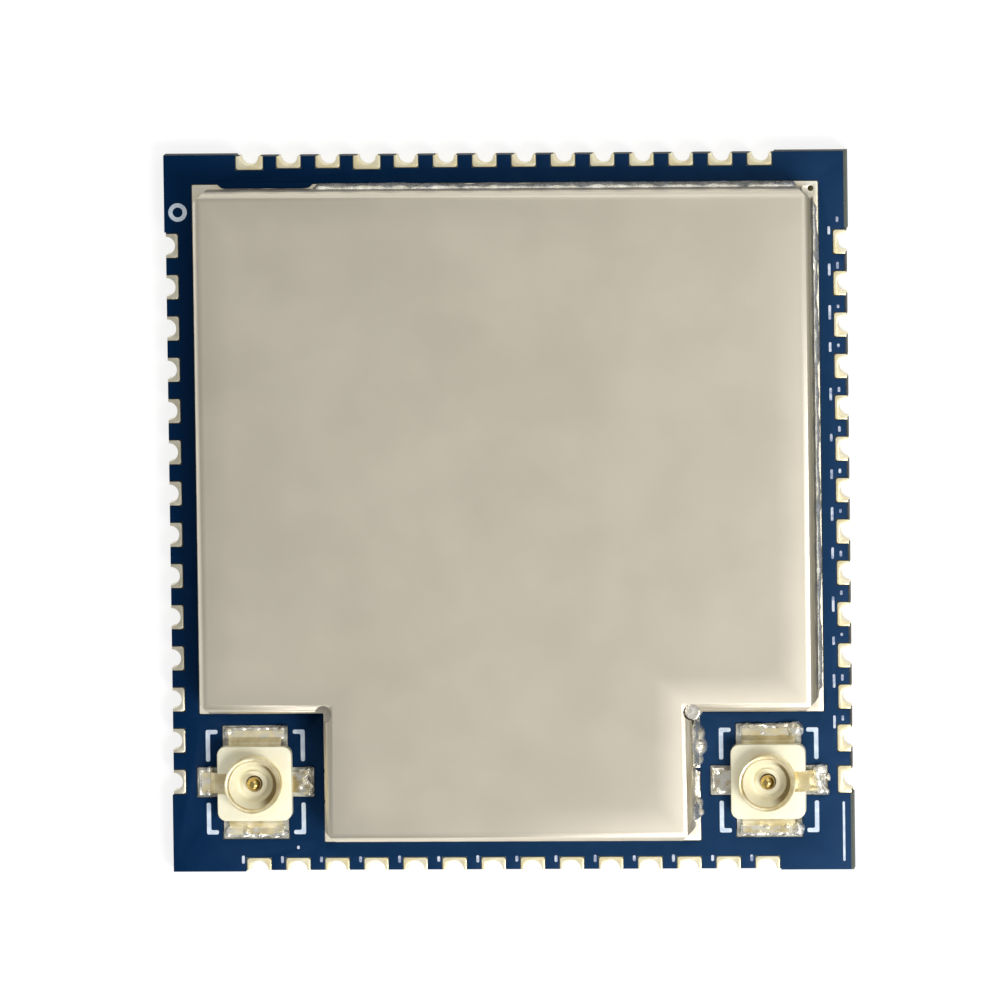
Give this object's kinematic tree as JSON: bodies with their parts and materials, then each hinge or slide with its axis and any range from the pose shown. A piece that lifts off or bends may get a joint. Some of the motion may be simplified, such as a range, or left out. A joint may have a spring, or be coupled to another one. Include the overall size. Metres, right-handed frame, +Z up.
{
  "type": "wireless module",
  "caption": "Surface-mount wireless module: castellated circuit board, folded T-shaped shield can over its radio parts, and two miniature coaxial antenna sockets.",
  "frame": {"origin": "centre of the board's underside, on the plane the module is soldered down to", "axes": "+Z up out of the board towards the can's top, +Y towards the rear edge, which has the pin-one ring at its left end, +X to the right, with the two antenna sockets at the front"},
  "size_m": [0.024, 0.0252, 0.0027],
  "materials": {
    "solder_mask": "semi-gloss navy solder mask over glass laminate",
    "pad_gold": "pale immersion gold",
    "land_gold": "pale immersion gold",
    "can_sheet": "satin nickel silver",
    "solder": "bright reflowed solder",
    "insulator_ivory": "moulded ivory",
    "contact_gold": "satin gold plating",
    "legend_ink": "printed pale ink",
    "chip_resin": "moulded",
    "tin_plate": "matt tin",
    "filter_ceramic": "matt",
    "ferrite": "matt",
    "crystal_ceramic": "matt",
    "crystal_lid": "satin",
    "capacitor_ceramic": "matt",
    "resistor_film": "glazed"
  },
  "bodies": {
    "root": {"circuit_board": "solder_mask", "edge_pads_rear": "pad_gold", "edge_pads_front": "pad_gold", "edge_pads_left": "pad_gold", "edge_pads_right": "pad_gold", "shield_land": "land_gold", "shield_can": "can_sheet", "shield_solder": "solder", "left_socket_lands": "land_gold", "left_socket_insulator": "insulator_ivory", "left_socket_outer_contact": "contact_gold", "left_socket_centre_contact": "contact_gold", "left_socket_solder": "solder", "right_socket_lands": "land_gold", "right_socket_insulator": "insulator_ivory", "right_socket_outer_contact": "contact_gold", "right_socket_centre_contact": "contact_gold", "right_socket_solder": "solder", "legend_ink": "legend_ink", "radio_chip": "chip_resin", "memory_chip": "chip_resin", "front_end_chips": "chip_resin", "regulator_chip": "chip_resin", "chip_terminals": "tin_plate", "band_filters": "filter_ceramic", "power_inductor": "ferrite", "crystal_base": "crystal_ceramic", "crystal_lid": "crystal_lid", "capacitors": "capacitor_ceramic", "resistors": "resistor_film", "end_caps": "tin_plate"}
  },
  "joints": []
}
